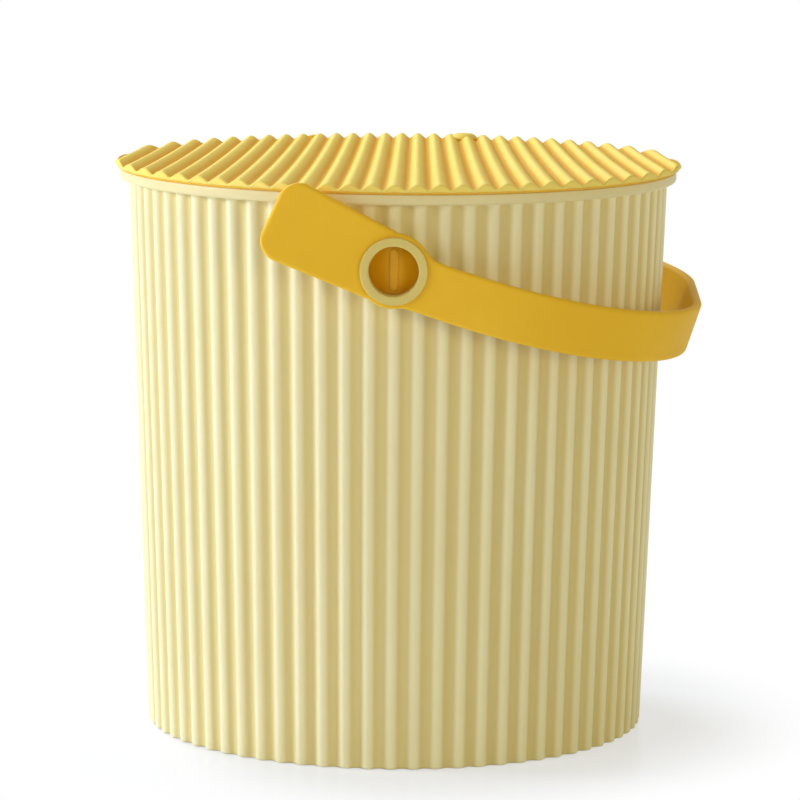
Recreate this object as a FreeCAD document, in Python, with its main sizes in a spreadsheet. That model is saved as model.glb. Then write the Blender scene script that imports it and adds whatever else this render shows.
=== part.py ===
import FreeCAD, Part

import math
import os

import Sketcher

# A free-standing fluted bucket with a loose ridged lid and a swinging strap handle.
# Millimetres, +Z up.  The origin is the centre of the face the bucket stands on,
# -Y is the front, where one pivot shows, and +X is the side the handle hangs on.

Vector = FreeCAD.Vector
Rotation = FreeCAD.Rotation
Placement = FreeCAD.Placement

os.makedirs("parts", exist_ok=True)
doc = FreeCAD.newDocument("bucket_with_lid")


# Driving dimensions
DIMENSIONS = [
    # bucket
    ("bucket_height", 256.8),
    ("base_crest_radius", 114.7),
    ("top_crest_radius", 123.7),
    ("flute_count", 70),
    ("flute_depth", 2.2),
    ("wall_thickness", 1.8),
    ("floor_thickness", 3.0),
    ("floor_corner_radius", 4.0),
    ("rim_height", 4.8),
    ("rim_overhang", 4.0),
    ("rim_edge_radius", 1.5),
    # pivots, the same at the front and the rear
    ("pivot_drop", 32.2),
    ("boss_radius", 15.0),
    ("socket_depth", 8.0),
    ("socket_end_gap", 0.3),
    ("sleeve_radius", 13.0),
    ("sleeve_wall", 2.2),
    ("mouth_chamfer", 1.0),
    ("flange_width", 1.7),
    ("flange_thickness", 1.5),
    ("flange_edge", 0.5),
    ("plug_recess", 8.0),
    ("plug_thickness", 3.0),
    ("plug_bar_width", 4.0),
    ("plug_bar_height", 0.7),
    ("plug_bar_end_gap", 1.6),
    ("eye_clearance", 0.08),
    ("side_gap", 0.3),
    # lid
    ("lid_overhang", 2.3),
    ("lid_edge_inset", 2.0),
    ("lid_thickness", 2.2),
    ("ridge_height", 2.5),
    ("lid_underside_lap", 0.3),
    ("ridge_pitch", 8.87),
    ("ridge_fan_distance", 1200.0),
    ("skirt_depth", 8.0),
    ("skirt_thickness", 2.0),
    ("skirt_clearance", 0.8),
    ("tab_radius", 7.0),
    ("tab_reach", 1.0),
    ("tab_rise", 0.8),
    ("tab_turn", 14.2),
    # handle
    ("arm_clearance", 2.0),
    ("arm_thickness", 4.0),
    ("swing_clearance", 1.0),
    ("grip_half_length", 28.0),
    ("strap_width", 23.6),
    ("strap_bow_radius", 950.0),
    ("strap_drop", 2.0),
    ("hub_radius", 16.5),
    ("hub_blend_radius", 12.0),
    ("tail_length", 58.5),
    ("tail_root_width", 31.0),
    ("tail_end_width", 37.0),
    ("tail_turn", 5.2),
    ("tail_corner_radius", 10.0),
    ("rest_angle", 19.5),
    ("strap_twist", 3.4),
]

sheet = doc.addObject("Spreadsheet::Sheet", "Dimensions")
for row, (alias, value) in enumerate(DIMENSIONS, start=1):
    sheet.set(f"A{row}", alias)
    sheet.set(f"B{row}", str(value))
    sheet.setAlias(f"B{row}", alias)
doc.recompute()


def size(alias):
    """The present value of one driving dimension."""
    return float(sheet.get(alias))


def formula(text):
    """An expression in which each driving dimension is read from the sheet."""
    words = []
    for word in text.split():
        bare = word.strip("()")
        known = any(bare == alias for alias, _ in DIMENSIONS)
        words.append(word.replace(bare, "Dimensions." + bare) if known else word)
    return " ".join(words)


def bind(item, bindings):
    """Tie properties of an object to the sheet."""
    for name, text in bindings.items():
        item.setExpression(name, formula(text))
    return item


def primitive(kind, name, bindings, placement=None):
    """A basic solid whose sizes and place follow the sheet."""
    item = doc.addObject(kind, name)
    if placement is not None:
        item.Placement = placement
    return bind(item, bindings)


def fuse(name, items):
    joined = doc.addObject("Part::MultiFuse", name)
    joined.Shapes = items
    return joined


def join(name, first, second):
    joined = doc.addObject("Part::Fuse", name)
    joined.Base = first
    joined.Tool = second
    return joined


def cut(name, base, tool):
    rest = doc.addObject("Part::Cut", name)
    rest.Base = base
    rest.Tool = tool
    return rest


def common(name, first, second):
    shared = doc.addObject("Part::Common", name)
    shared.Base = first
    shared.Tool = second
    return shared


def rounded(name, base, radius_alias, wanted):
    """Round the edges of base that the test picks out."""
    doc.recompute()
    radius = size(radius_alias)
    picked = [(i, radius, radius) for i, edge in enumerate(base.Shape.Edges, start=1) if wanted(edge)]
    if not picked:
        raise ValueError(f"{name}: no edge to round")
    item = doc.addObject("Part::Fillet", name)
    item.Base = base
    item.Edges = picked
    return item


def solid_feature(name, shape):
    """A solid drawn point by point from the sheet's values."""
    item = doc.addObject("Part::Feature", name)
    item.Shape = shape
    return item


def turned_body(label, outline):
    """A body turned about its own Z axis from an outline of (radius, height) formulas."""
    body = doc.addObject("PartDesign::Body", label)
    plane = next(o for o in body.Origin.OriginFeatures if o.Role == "XZ_Plane")
    sketch = body.newObject("Sketcher::SketchObject", label + "_outline")
    sketch.AttachmentSupport = [(plane, "")]
    sketch.MapMode = "FlatFace"
    values = [[evaluate(text) for text in point] for point in outline]
    count = len(outline)
    for i in range(count):
        start = Vector(*values[i], 0)
        end = Vector(*values[(i + 1) % count], 0)
        sketch.addGeometry(Part.LineSegment(start, end), False)
    for i in range(count):
        sketch.addConstraint(Sketcher.Constraint("Coincident", i, 2, (i + 1) % count, 1))
    for i, point in enumerate(outline):
        place_corner(sketch, i, point, values[i])
    turn = body.newObject("PartDesign::Revolution", label + "_turned")
    turn.Profile = sketch
    turn.ReferenceAxis = (sketch, ["V_Axis"])
    turn.Angle = 360.0
    return body


def place_corner(sketch, index, point, value):
    """Tie one corner of an outline to the sheet, or to an axis where its distance is zero."""
    directions = (("DistanceX", -2), ("DistanceY", -1))
    for (kind, axis), text, number in zip(directions, point, value):
        if text == "0":
            sketch.addConstraint(Sketcher.Constraint("PointOnObject", index, 1, axis))
            continue
        constraint = sketch.addConstraint(Sketcher.Constraint(kind, -1, 1, index, 1, number))
        sketch.setExpression(f"Constraints[{constraint}]", formula(text))


def evaluate(text):
    """The number that a formula gives now."""
    return float(sheet.evalExpression(formula(text).replace("Dimensions.", "")))


# Places and sizes that several pieces share, as formulas
PIVOT_HEIGHT = "( bucket_height - pivot_drop )"
LID_RADIUS = "( top_crest_radius + rim_overhang + lid_overhang )"
ARM_INSIDE = f"{LID_RADIUS} + arm_clearance"
ARM_OUTSIDE = f"{ARM_INSIDE} + arm_thickness"
BOSS_FACE = f"{ARM_INSIDE} - side_gap"
FLANGE_BACK = f"{ARM_OUTSIDE} + side_gap"
RIM_RADIUS = "top_crest_radius + rim_overhang"
BORE_BASE_RADIUS = "base_crest_radius - flute_depth - wall_thickness"
BORE_TOP_RADIUS = "top_crest_radius - flute_depth - wall_thickness"
WALL_SLOPE = "( top_crest_radius - base_crest_radius ) / bucket_height"
SKIRT_RADIUS = f"{BORE_TOP_RADIUS} - {WALL_SLOPE} * skirt_depth - skirt_clearance"
STRAP_CENTRE = "strap_bow_radius - strap_drop"

# The grip swings past the lid's top edge, so its reach follows that edge's distance from the pivot
LID_EDGE_RISE = "( pivot_drop + lid_thickness + ridge_height )"
LID_EDGE_DISTANCE = f"sqrt( {LID_RADIUS} ^ 2 + {LID_EDGE_RISE} ^ 2 )"
HANDLE_REACH = f"( {LID_EDGE_DISTANCE} + swing_clearance + arm_thickness )"
HANDLE_CORNER = f"( {ARM_OUTSIDE} - grip_half_length )"

FRONT = Rotation(Vector(1, 0, 0), 90)
REAR = Rotation(Vector(1, 0, 0), -90)
LIE_BACK = Rotation(Vector(0, 0, 1), Vector(-1, 0, 0), Vector(0, -1, 0), "XYZ")


# Bucket
def fluted_outline(crest_radius, height):
    """A closed line of arcs: one crest and one valley for each flute, a crest at the front."""
    valley_radius = crest_radius - size("flute_depth")
    middle_radius = (crest_radius + valley_radius) / 2
    quarter = 2 * math.pi / size("flute_count") / 4

    def point(radius, angle):
        return Vector(radius * math.cos(angle), radius * math.sin(angle), height)

    edges = []
    for flute in range(int(size("flute_count"))):
        crest = -math.pi / 2 + flute * 4 * quarter
        rise = point(middle_radius, crest - quarter)
        fall = point(middle_radius, crest + quarter)
        next_rise = point(middle_radius, crest + 3 * quarter)
        edges.append(Part.Arc(rise, point(crest_radius, crest), fall).toShape())
        edges.append(Part.Arc(fall, point(valley_radius, crest + 2 * quarter), next_rise).toShape())
    return Part.Wire(edges)


def fluted_frustum():
    """The outside of the bucket wall as one solid, straight lines from base to top."""
    base = fluted_outline(size("base_crest_radius"), 0)
    top = fluted_outline(size("top_crest_radius"), size("bucket_height"))
    return Part.makeLoft([base, top], True, True)


def pivot_cylinder(name, side, radius, start, length):
    """A cylinder along a pivot axis, from a distance out from the bucket's axis."""
    sign = "-1" if side is FRONT else "1"
    return primitive("Part::Cylinder", name, {
        "Radius": radius,
        "Height": length,
        "Placement.Base.y": f"{sign} * ( {start} )",
        "Placement.Base.z": PIVOT_HEIGHT,
    }, Placement(Vector(0, 0, 0), side))


def bore():
    """The smooth tapered inside of the bucket, with a round corner at the floor."""
    cone = primitive("Part::Cone", "bore_cone", {
        "Radius1": f"{BORE_BASE_RADIUS} + {WALL_SLOPE} * floor_thickness",
        "Radius2": f"{BORE_TOP_RADIUS} + {WALL_SLOPE} * rim_height",
        "Height": "bucket_height - floor_thickness + rim_height",
        "Placement.Base.z": "floor_thickness",
    })
    floor = size("floor_thickness")
    return rounded("bore", cone, "floor_corner_radius",
                   lambda edge: len(edge.Vertexes) == 1 and abs(edge.CenterOfMass.z - floor) < 0.01)


def rim():
    """The plain band round the mouth, its lower edge rounded."""
    disc = primitive("Part::Cylinder", "rim_disc", {
        "Radius": RIM_RADIUS,
        "Height": "rim_height",
        "Placement.Base.z": "bucket_height - rim_height",
    })
    underside = size("bucket_height") - size("rim_height")
    return rounded("rim", disc, "rim_edge_radius",
                   lambda edge: len(edge.Vertexes) == 1 and abs(edge.CenterOfMass.z - underside) < 0.01)


def bucket_shell():
    frustum = solid_feature("fluted_frustum", fluted_frustum())
    bosses = [pivot_cylinder(f"{name}_boss", side, "boss_radius", "0", BOSS_FACE)
              for name, side in (("front", FRONT), ("rear", REAR))]
    sockets = [pivot_cylinder(f"{name}_socket", side, "sleeve_radius",
                              f"{BOSS_FACE} - socket_depth", "socket_depth + side_gap")
               for name, side in (("front", FRONT), ("rear", REAR))]
    blank = fuse("bucket_blank", [frustum, rim()] + bosses)
    hollow = fuse("bucket_hollow", [bore()] + sockets)
    return cut("bucket_shell", blank, hollow)


# Pivot bushes and plugs
def pivot_bush(label, side):
    """A flanged sleeve that the handle turns on, pressed into the bucket's boss."""
    bore_radius = "sleeve_radius - sleeve_wall"
    flange_radius = "sleeve_radius + flange_width"
    inner_end = f"{BOSS_FACE} - socket_depth + socket_end_gap"
    face = f"{FLANGE_BACK} + flange_thickness"
    body = turned_body(label, [
        (bore_radius, inner_end),
        ("sleeve_radius", inner_end),
        ("sleeve_radius", FLANGE_BACK),
        (flange_radius, FLANGE_BACK),
        (flange_radius, f"{face} - flange_edge"),
        (f"{flange_radius} - flange_edge", face),
        (f"{bore_radius} + mouth_chamfer", face),
        (bore_radius, f"{face} - mouth_chamfer"),
    ])
    body.Placement = Placement(Vector(0, 0, 0), side)
    return bind(body, {"Placement.Base.z": PIVOT_HEIGHT})


def pivot_plug(label, side):
    """A disc pressed into the sleeve to hold it spread, with a low upright bar on its face."""
    bore_radius = "sleeve_radius - sleeve_wall"
    face = f"{FLANGE_BACK} + flange_thickness - plug_recess"
    back = f"{face} - plug_thickness"
    body = turned_body(label, [("0", back), (bore_radius, back), (bore_radius, face), ("0", face)])
    bar = body.newObject("PartDesign::AdditiveBox", label + "_bar")
    half_length = f"( {bore_radius} - plug_bar_end_gap )"
    bind(bar, {
        "Length": "plug_bar_width",
        "Width": f"2 * {half_length}",
        "Height": "plug_thickness + plug_bar_height",
        "Placement.Base.x": "-0.5 * plug_bar_width",
        "Placement.Base.y": f"-1 * {half_length}",
        "Placement.Base.z": back,
    })
    body.Tip = bar
    body.Placement = Placement(Vector(0, 0, 0), side)
    return bind(body, {"Placement.Base.z": PIVOT_HEIGHT})


# Lid
def ridge_outline(depth, floor, trough):
    """The ridges' section at one depth: a wave of arcs on top of a straight-sided block."""
    fan = 1 - depth / size("ridge_fan_distance")
    pitch = size("ridge_pitch") * fan
    crest = trough + size("ridge_height")
    middle = (trough + crest) / 2
    narrowest = size("ridge_pitch") * (1 - evaluate(LID_RADIUS) / size("ridge_fan_distance"))
    outermost = math.ceil(evaluate(LID_RADIUS) / narrowest) + 1

    def point(ridge, height):
        return Vector(ridge * pitch, depth, height)

    edges = []
    for ridge in range(-outermost, outermost + 1):
        edges.append(Part.Arc(point(ridge - 0.25, middle), point(ridge, crest),
                              point(ridge + 0.25, middle)).toShape())
        if ridge < outermost:
            edges.append(Part.Arc(point(ridge + 0.25, middle), point(ridge + 0.5, trough),
                                  point(ridge + 0.75, middle)).toShape())
    left = -outermost - 0.25
    corners = [point(-left, middle), point(-left, floor), point(left, floor), point(left, middle)]
    edges += [Part.LineSegment(a, b).toShape() for a, b in zip(corners, corners[1:])]
    return Part.Wire(edges)


def ridged_block(name, floor, trough):
    """Ridges that draw together slightly toward the rear, on a block wider than the lid."""
    reach = evaluate(LID_RADIUS) + size("tab_radius")
    near = ridge_outline(-reach, floor, trough)
    far = ridge_outline(reach, floor, trough)
    return solid_feature(name, Part.makeLoft([near, far], True, True))


def lid():
    seat = size("bucket_height")
    thickness = size("lid_thickness")
    edge = primitive("Part::Cone", "lid_edge", {
        "Radius1": f"{LID_RADIUS} - lid_edge_inset",
        "Radius2": LID_RADIUS,
        "Height": "lid_thickness",
        "Placement.Base.z": "bucket_height",
    })
    upper = primitive("Part::Cylinder", "lid_upper", {
        "Radius": LID_RADIUS,
        "Height": "lid_thickness + ridge_height",
        "Placement.Base.z": "bucket_height + lid_thickness",
    })
    top_block = ridged_block("lid_top_ridges", seat - thickness, seat + thickness)
    plate = common("lid_plate", fuse("lid_blank", [edge, upper]), top_block)
    web = thickness + size("lid_underside_lap")
    under_block = ridged_block("lid_under_ridges", seat - 2 * thickness, seat + thickness - web)
    under_disc = primitive("Part::Cylinder", "lid_under_disc", {
        "Radius": f"{SKIRT_RADIUS} - 2 * skirt_thickness",
        "Height": "2 * lid_thickness + ridge_height",
        "Placement.Base.z": "bucket_height - lid_thickness",
    })
    underside = common("lid_underside", under_block, under_disc)
    skirt_outside = primitive("Part::Cylinder", "skirt_outside", {
        "Radius": SKIRT_RADIUS,
        "Height": "skirt_depth + 0.5 * lid_thickness",
        "Placement.Base.z": "bucket_height - skirt_depth",
    })
    skirt_inside = primitive("Part::Cylinder", "skirt_inside", {
        "Radius": f"{SKIRT_RADIUS} - skirt_thickness",
        "Height": "skirt_depth + lid_thickness",
        "Placement.Base.z": "bucket_height - skirt_depth",
    })
    tab_centre = f"( {LID_RADIUS} + tab_reach - tab_radius )"
    tab = primitive("Part::Cylinder", "lid_tab", {
        "Radius": "tab_radius",
        "Height": "lid_thickness + ridge_height + tab_rise",
        "Placement.Base.x": f"{tab_centre} * sin( tab_turn * 1deg )",
        "Placement.Base.y": f"{tab_centre} * cos( tab_turn * 1deg )",
        "Placement.Base.z": "bucket_height",
    })
    skirted = join("lid_skirted", plate, cut("lid_skirt", skirt_outside, skirt_inside))
    return cut("lid", join("lid_solid", skirted, tab), underside)


# Handle, drawn flat: X along its reach, Z across the strap, the pivot axis on Y
def rounded_plan(name, half_width, reach, corner):
    """A tall block with the handle's plan: square behind, two round corners at the grip."""
    height = "2 * tail_length"
    back = "2 * tail_length"
    straight = primitive("Part::Box", name + "_straight", {
        "Length": f"{back} + {reach} - {corner}",
        "Width": f"2 * ( {half_width} )",
        "Height": f"2 * {height}",
        "Placement.Base.x": f"-1 * {back}",
        "Placement.Base.y": f"-1 * ( {half_width} )",
        "Placement.Base.z": f"-1 * {height}",
    })
    middle = primitive("Part::Box", name + "_middle", {
        "Length": f"{back} + {reach}",
        "Width": f"2 * ( {half_width} - {corner} )",
        "Height": f"2 * {height}",
        "Placement.Base.x": f"-1 * {back}",
        "Placement.Base.y": f"-1 * ( {half_width} - {corner} )",
        "Placement.Base.z": f"-1 * {height}",
    })
    corners = [primitive("Part::Cylinder", f"{name}_{side}_corner", {
        "Radius": corner,
        "Height": f"2 * {height}",
        "Placement.Base.x": f"{reach} - {corner}",
        "Placement.Base.y": f"{sign} * ( {half_width} - {corner} )",
        "Placement.Base.z": f"-1 * {height}",
    }) for side, sign in (("front", "-1"), ("rear", "1"))]
    return fuse(name, [straight, middle] + corners)


def along_y(edge):
    """Whether an edge is a straight one across the handle."""
    if not isinstance(edge.Curve, (Part.Line, Part.LineSegment)):
        return False
    return abs(abs(edge.tangentAt(edge.FirstParameter).y) - 1) < 1e-6


def pivot_distance(edge):
    """How far an edge across the handle lies from the pivot axis."""
    return math.hypot(edge.CenterOfMass.x, edge.CenterOfMass.z)


def along_pivot(name, radius, height_above):
    """A full-width cylinder along the pivot axis or beside it."""
    return primitive("Part::Cylinder", name, {
        "Radius": radius,
        "Height": f"2 * ( {ARM_OUTSIDE} )",
        "Placement.Base.y": ARM_OUTSIDE,
        "Placement.Base.z": height_above,
    }, Placement(Vector(0, 0, 0), FRONT))


def strap_profile():
    """The strap seen from the side: a gently bowed band from the pivot to the grip."""
    below = along_pivot("strap_below", "strap_bow_radius + 0.5 * strap_width", STRAP_CENTRE)
    above = along_pivot("strap_above", "strap_bow_radius - 0.5 * strap_width", STRAP_CENTRE)
    limits = primitive("Part::Box", "strap_limits", {
        "Length": f"{HANDLE_REACH} + arm_thickness",
        "Width": f"2 * ( {ARM_OUTSIDE} )",
        "Height": "strap_bow_radius",
        "Placement.Base.y": f"-1 * ( {ARM_OUTSIDE} )",
        "Placement.Base.z": "-1 * strap_width",
    })
    return common("strap_profile", cut("strap_ring", below, above), limits)


def tail_profile():
    """The tail seen from the side: it widens away from the pivot and ends in two round corners."""
    turn = Rotation(Vector(0, 1, 0), size("tail_turn"))
    wedge = primitive("Part::Wedge", "tail_wedge", {
        "Xmin": "-0.5 * tail_root_width",
        "Xmax": "0.5 * tail_root_width",
        "X2min": "-0.5 * tail_end_width",
        "X2max": "0.5 * tail_end_width",
        "Ymin": "0",
        "Ymax": "tail_length",
        "Zmin": f"-1 * ( {ARM_OUTSIDE} )",
        "Zmax": ARM_OUTSIDE,
        "Z2min": f"-1 * ( {ARM_OUTSIDE} )",
        "Z2max": ARM_OUTSIDE,
    }, Placement(Vector(0, 0, 0), turn.multiply(LIE_BACK)))
    half = 0.5 * size("tail_length")
    return rounded("tail_profile", wedge, "tail_corner_radius",
                   lambda edge: along_y(edge) and edge.CenterOfMass.x < -half)


def side_profile():
    """Strap, hub and tail seen from the side, with smooth hollows where they meet."""
    hub = along_pivot("hub", "hub_radius", "0")
    joined = fuse("handle_outline", [strap_profile(), hub, tail_profile()])
    radius = size("hub_radius")
    return rounded("handle_profile", joined, "hub_blend_radius",
                   lambda edge: along_y(edge) and abs(pivot_distance(edge) - radius) < 0.01)


def twisted_profile():
    """The side view carried from the front arm to the rear arm, which hangs slightly higher."""
    plain = side_profile()
    doc.recompute()
    front_end = min(plain.Shape.Faces, key=lambda face: face.CenterOfMass.y)
    front = front_end.OuterWire
    rear = front.copy()
    rear.translate(Vector(0, 2 * evaluate(ARM_OUTSIDE), 0))
    rear.rotate(Vector(0, 0, 0), Vector(0, 1, 0), -size("strap_twist"))
    return solid_feature("twisted_profile", Part.makeLoft([front, rear], True, True))


def handle():
    """One strap bent into a loop, an eye in each arm, hanging at its rest angle."""
    outside = rounded_plan("handle_outside", ARM_OUTSIDE, HANDLE_REACH, HANDLE_CORNER)
    inside = rounded_plan("handle_inside", ARM_INSIDE, f"( {HANDLE_REACH} - arm_thickness )",
                          f"( {HANDLE_CORNER} - arm_thickness )")
    band = cut("handle_band", outside, inside)
    eyes = along_pivot("handle_eyes", "sleeve_radius + eye_clearance", "0")
    hanging = cut("handle", common("handle_strap", band, twisted_profile()), eyes)
    hanging.Placement = Placement(Vector(0, 0, 0), Rotation(Vector(0, 1, 0), size("rest_angle")))
    return bind(hanging, {
        "Placement.Base.z": PIVOT_HEIGHT,
        "Placement.Rotation.Angle": "rest_angle * 1deg",
    })


# Build, check and write
pieces = [
    bucket_shell(),
    lid(),
    handle(),
    pivot_bush("front_pivot_bush", FRONT),
    pivot_bush("rear_pivot_bush", REAR),
    pivot_plug("front_pivot_plug", FRONT),
    pivot_plug("rear_pivot_plug", REAR),
]
doc.recompute()

for item in doc.Objects:
    if "Invalid" in item.State or "Error" in item.State:
        raise RuntimeError(f"{item.Label} did not recompute: {item.State}")

for piece in pieces:
    shape = piece.Shape
    if shape.isNull() or not shape.isValid() or len(shape.Solids) != 1:
        raise RuntimeError(f"{piece.Label} is not one sound solid")

for piece in pieces:
    box = piece.Shape.BoundBox
    print(f"{piece.Label}: {piece.Shape.Volume / 1000:.1f} cm3, "
          f"x {box.XMin:.1f} to {box.XMax:.1f}, y {box.YMin:.1f} to {box.YMax:.1f}, "
          f"z {box.ZMin:.1f} to {box.ZMax:.1f}")
    piece.Shape.exportStep(f"parts/{piece.Label}.step")
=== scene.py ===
# %% [markdown]
# # A fluted bucket with a ridged lid
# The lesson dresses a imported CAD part: a cream bucket, a yellow lid that lies loose on its rim and a
# yellow strap handle on two pivots. The CAD frame is loaded first and never moves. Each piece that
# shows is then made again as a finer mesh with rounded edges, in the same place as its CAD node.

# %% Load the frame
import math

import bmesh
import bpy
import numpy as np
from mathutils import Matrix, Vector


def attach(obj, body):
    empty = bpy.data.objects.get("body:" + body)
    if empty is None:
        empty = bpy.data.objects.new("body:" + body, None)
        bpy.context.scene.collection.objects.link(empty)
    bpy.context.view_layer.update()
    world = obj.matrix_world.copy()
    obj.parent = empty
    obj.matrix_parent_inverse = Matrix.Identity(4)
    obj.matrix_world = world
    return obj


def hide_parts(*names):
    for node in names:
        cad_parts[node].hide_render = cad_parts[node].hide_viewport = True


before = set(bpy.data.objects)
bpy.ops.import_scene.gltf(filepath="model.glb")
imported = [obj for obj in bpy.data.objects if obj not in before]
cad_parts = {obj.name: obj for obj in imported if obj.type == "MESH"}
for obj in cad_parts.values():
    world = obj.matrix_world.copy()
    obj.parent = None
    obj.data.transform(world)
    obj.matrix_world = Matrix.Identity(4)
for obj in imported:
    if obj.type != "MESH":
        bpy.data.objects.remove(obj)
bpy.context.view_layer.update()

MM = 0.001

# %% [markdown]
# ## The camera
# The photograph was taken from far away with a long lens, so the sides hardly converge. The values
# come from fitting a pinhole camera to the lid line, the rim, the base curve and the wall's edges.
# A tiny turn round the bucket's axis brings the front pivot slightly left of the middle.

# %% Camera
IMAGE_SIDE = 800
FOCAL_PIXELS = 4336.63
SENSOR_WIDTH = 36.0
CAMERA_PLACE = Vector((1.68, -1987.8, 443.9)) * MM
CAMERA_PITCH = math.radians(8.45)
CAMERA_ROLL = math.radians(0.47)
CAMERA_TURN = math.radians(0.63)

lens = bpy.data.cameras.new("photo_camera")
lens.sensor_width = SENSOR_WIDTH
lens.lens = FOCAL_PIXELS * SENSOR_WIDTH / IMAGE_SIDE
lens.clip_end = 50.0
camera = bpy.data.objects.new("photo_camera", lens)
bpy.context.scene.collection.objects.link(camera)
camera.matrix_world = (
    Matrix.Rotation(CAMERA_TURN, 4, "Z")
    @ Matrix.Translation(CAMERA_PLACE)
    @ Matrix.Rotation(math.pi / 2 - CAMERA_PITCH, 4, "X")
    @ Matrix.Rotation(CAMERA_ROLL, 4, "Z")
)
bpy.context.scene.camera = camera
print("lens in mm:", round(lens.lens, 1))

# %% [markdown]
# ## Skins from rings
# Nearly every moulded piece here is a skin over a stack of closed rings: a bucket is turned from base
# to rim to floor, a strap is a loop of cross-sections. One helper joins neighbouring rings with
# quads and closes the ends, so each piece is a watertight mesh.

# %% Ring helpers
def new_piece(name, points, faces):
    """A smooth mesh object from points in millimetres."""
    mesh = bpy.data.meshes.new(name)
    mesh.from_pydata([tuple(p) for p in np.asarray(points) * MM], [], faces)
    mesh.validate()
    skin = bmesh.new()
    skin.from_mesh(mesh)
    bmesh.ops.recalc_face_normals(skin, faces=skin.faces)
    skin.to_mesh(mesh)
    skin.free()
    mesh.shade_smooth()
    piece = bpy.data.objects.new(name, mesh)
    bpy.context.scene.collection.objects.link(piece)
    return piece


def ring_faces(ring_count, ring_size, first=0):
    """Quads between neighbouring rings of the same size."""
    faces = []
    for ring in range(ring_count - 1):
        low = first + ring * ring_size
        high = low + ring_size
        for i in range(ring_size):
            j = (i + 1) % ring_size
            faces.append((low + i, low + j, high + j, high + i))
    return faces


def fan_faces(centre, ring_start, ring_size, turned):
    """Triangles from a centre point to a ring."""
    faces = []
    for i in range(ring_size):
        a = ring_start + i
        b = ring_start + (i + 1) % ring_size
        faces.append((centre, b, a) if turned else (centre, a, b))
    return faces


def capped_skin(name, rings, first_centre, last_centre):
    """A closed skin over rings, with a point in the middle of each end."""
    rings = np.asarray(rings)
    count, size, _ = rings.shape
    points = np.vstack([rings.reshape(-1, 3), first_centre, last_centre])
    faces = ring_faces(count, size)
    faces += fan_faces(count * size, 0, size, True)
    faces += fan_faces(count * size + 1, (count - 1) * size, size, False)
    return new_piece(name, points, faces)


def fillet_points(centre, radius, start, end, steps):
    """Points of an arc in a profile, angles in degrees."""
    angles = np.radians(np.linspace(start, end, steps))
    return [(centre[0] + radius * math.cos(a), centre[1] + radius * math.sin(a)) for a in angles]


def combine(piece, tool, operation):
    """Join a tool to a piece or cut it away, and keep only the result."""
    change = piece.modifiers.new("combine", "BOOLEAN")
    change.operation = operation
    change.solver = "EXACT"
    change.object = tool
    graph = bpy.context.evaluated_depsgraph_get()
    result = bpy.data.meshes.new_from_object(piece.evaluated_get(graph))
    piece.modifiers.clear()
    piece.data = result
    bpy.data.objects.remove(tool)


print("helpers ready")

# %% [markdown]
# ## The bucket
# The real bucket is one moulding: 70 soft flutes on a slightly tapered wall, a plain band as a rim and
# a smooth inside. Every ring has the same number of points, and a flute weight between 0 and 1 says how
# much of the wave a ring takes. The base edge and the rim's edges get small roundings, which
# catch the light as the real ones do.

# %% Bucket wall, rim and floor
BUCKET_HEIGHT = 256.8
BASE_CREST = 114.7
TOP_CREST = 123.7
FLUTE_COUNT = 70
FLUTE_DEPTH = 2.2
WALL = 1.8
FLOOR = 3.0
RIM_HEIGHT = 4.8
RIM_RADIUS = 127.7
BASE_EDGE = 1.2
RIM_UNDER_EDGE = 1.5
RIM_TOP_EDGE = 0.7
RIM_HOLLOW = 1.2
FLOOR_CORNER = 4.0
PLAIN_UNDERSIDE = 6.0
FLUTED_UNDERSIDE = 1.4
MIDDLE_RING = 60.0
POINTS_PER_FLUTE = 14
# Just under the rim: drop below it, share of the hollow, share of the flutes.
RIM_BLEND = ((0.8, 0.10, 0.97), (0.3, 0.35, 0.85), (0.0, 1.0, 0.45))

flute_turn = np.linspace(0, 2 * math.pi, FLUTE_COUNT * POINTS_PER_FLUTE, endpoint=False)
flute_dip = FLUTE_DEPTH * (0.5 - 0.5 * np.cos(FLUTE_COUNT * flute_turn))


def crest_radius(height):
    """The tapered wall's outer radius on the crests of the flutes."""
    return BASE_CREST + (TOP_CREST - BASE_CREST) * height / BUCKET_HEIGHT


def bore_radius(height):
    """The smooth inside's radius."""
    return crest_radius(height) - FLUTE_DEPTH - WALL


def wall_ring(radius, height, flutes):
    """A ring round the bucket's axis, the first point at the front."""
    reach = radius - flutes * flute_dip
    return np.column_stack([
        reach * np.sin(flute_turn),
        -reach * np.cos(flute_turn),
        np.full_like(reach, height),
    ])


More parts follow.
